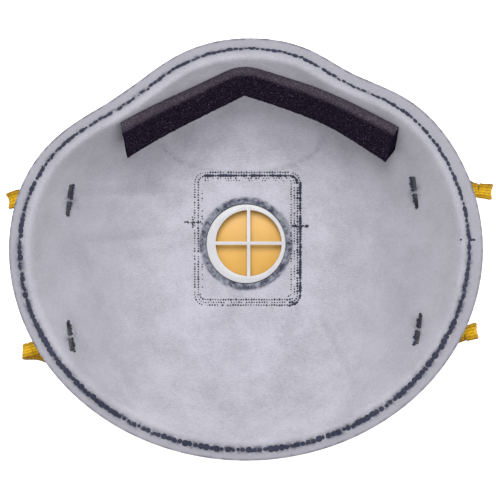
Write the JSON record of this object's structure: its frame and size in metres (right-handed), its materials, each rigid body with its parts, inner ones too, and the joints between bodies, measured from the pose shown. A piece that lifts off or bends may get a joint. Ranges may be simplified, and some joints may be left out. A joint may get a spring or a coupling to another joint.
{
  "type": "disposable dust mask",
  "caption": "Moulded cup respirator with nose foam and clip, exhalation valve and stapled elastic headbands, lying on its valve with the hollow upwards.",
  "frame": {"origin": "on the table under the centre of the rim, in the flat front of the valve cover that the mask lies on", "axes": "+X to the wearer's side that shows on the right with the nose up, +Y to the nose, +Z to the wearer, out of the hollow"},
  "size_m": [0.1447, 0.1218, 0.0517],
  "materials": {
    "white_web": "fuzzy nonwoven",
    "shell_web": "stiff thermoformed nonwoven",
    "carbon_web": "carbon loaded nonwoven",
    "face_web": "soft lavender grey nonwoven",
    "adhesive": "thin adhesive film",
    "nose_foam": "open cell foam",
    "clip_metal": "satin soft aluminium",
    "valve_white": "moulded polypropylene",
    "flap_rubber": "smooth yellow rubber sheet",
    "staple_wire": "plated flat wire",
    "band_elastic": "flat braided elastic"
  },
  "bodies": {
    "cup": {"outer_web": "white_web", "filter_web": "white_web", "support_shell": "shell_web", "carbon_web": "carbon_web", "face_web": "face_web", "foam_adhesive": "adhesive", "nose_foam": "nose_foam", "clip_adhesive": "adhesive", "nose_clip": "clip_metal", "valve_seat": "valve_white", "flap_root": "flap_rubber", "valve_cover": "valve_white", "staple_upper_left": "staple_wire", "staple_upper_right": "staple_wire", "staple_lower_left": "staple_wire", "staple_lower_right": "staple_wire", "headband_upper_left_end": "band_elastic", "headband_upper_right_end": "band_elastic", "headband_lower_left_end": "band_elastic", "headband_lower_right_end": "band_elastic"},
    "flap": {"exhale_flap": "flap_rubber"},
    "upper_band": {"headband_upper_loop": "band_elastic"},
    "lower_band": {"headband_lower_loop": "band_elastic"}
  },
  "joints": [
    {"name": "flap_hinge", "type": "hinge", "parent": "cup", "child": "flap", "pos_m": [0.0008, 0.0144, 0.00816], "axis": [1, 0, 0], "range_deg": [0, 15], "stiffness_Nm_per_rad": 0.0004, "springref_deg": -17.19},
    {"name": "upper_band_swing", "type": "hinge", "parent": "cup", "child": "upper_band", "pos_m": [0.0011, 0.0164, 0.041], "axis": [0.9999, 0.0121, 0], "range_deg": [0, 150]},
    {"name": "lower_band_swing", "type": "hinge", "parent": "cup", "child": "lower_band", "pos_m": [0.0007, -0.027, 0.041], "axis": [-0.9994, -0.0351, 0], "range_deg": [0, 150]}
  ]
}
